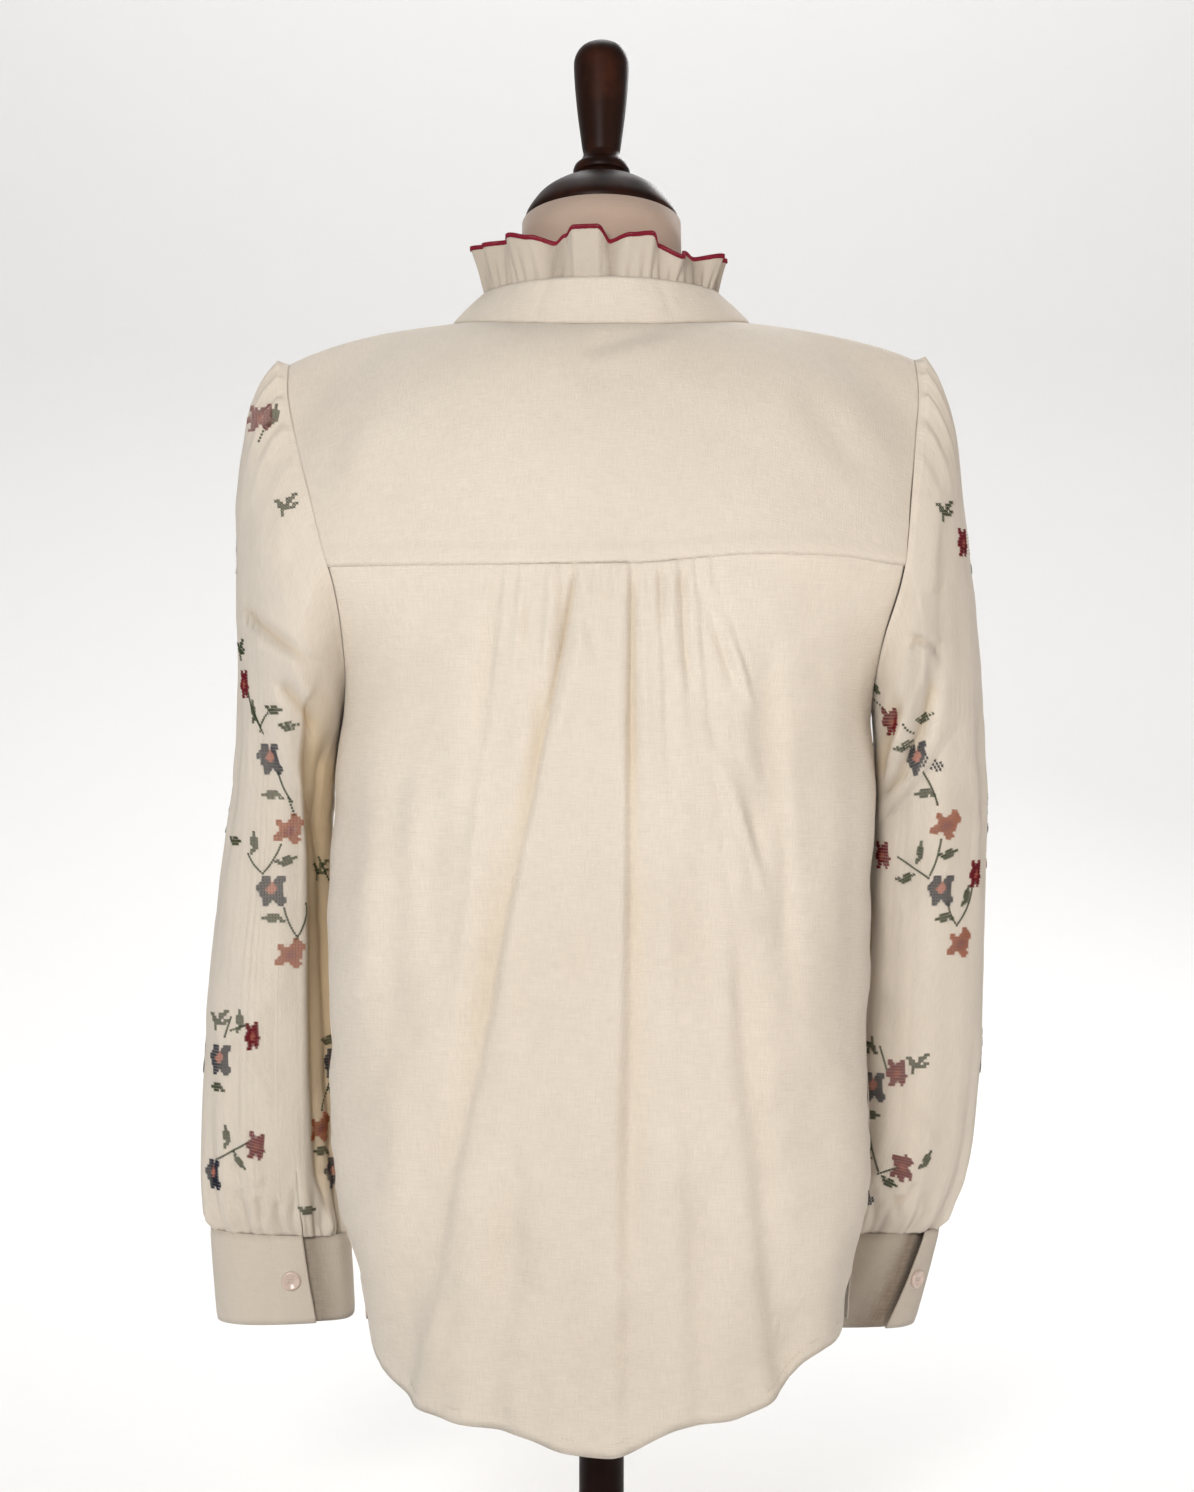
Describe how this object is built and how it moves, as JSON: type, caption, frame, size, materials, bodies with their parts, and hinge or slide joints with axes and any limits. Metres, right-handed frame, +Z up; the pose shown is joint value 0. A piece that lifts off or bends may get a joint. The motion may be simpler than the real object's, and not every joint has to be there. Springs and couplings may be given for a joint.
{
  "type": "embroidered blouse on a dress form",
  "caption": "Full-sleeved folk blouse, its back gathered into a yoke, with a ruffled neck band and gathered cuffs, buttoned on a limbless dress form with a turned neck cap and a round base.",
  "frame": {"origin": "centre of the round base's underside, on the floor", "axes": "+Z up, +Y towards the blouse's back, +X towards the wearer's left"},
  "size_m": [0.4999, 0.3, 0.9721],
  "materials": {
    "cream_cotton": "fine plain-woven cotton, matt, softly creased",
    "form_linen": "beige linen cover, matt",
    "dark_wood": "dark reddish stain under a clear polish",
    "pearl_button": "pinkish pearl, satin"
  },
  "bodies": {
    "root": {"back_yoke": "cream_cotton", "back_panel": "cream_cotton", "left_front": "cream_cotton", "right_front": "cream_cotton", "front_placket": "cream_cotton", "collar_stand": "cream_cotton", "collar_ruffle": "cream_cotton", "left_sleeve": "cream_cotton", "right_sleeve": "cream_cotton", "left_cuff": "cream_cotton", "right_cuff": "cream_cotton", "collar_button": "pearl_button", "left_cuff_button": "pearl_button", "right_cuff_button": "pearl_button", "front_button_1": "pearl_button", "front_button_2": "pearl_button", "front_button_3": "pearl_button", "front_button_4": "pearl_button", "front_button_5": "pearl_button", "front_button_6": "pearl_button", "form_body": "form_linen", "neck_cap": "dark_wood", "cap_handle": "dark_wood", "stand_pole": "dark_wood", "stand_base": "dark_wood"}
  },
  "joints": []
}
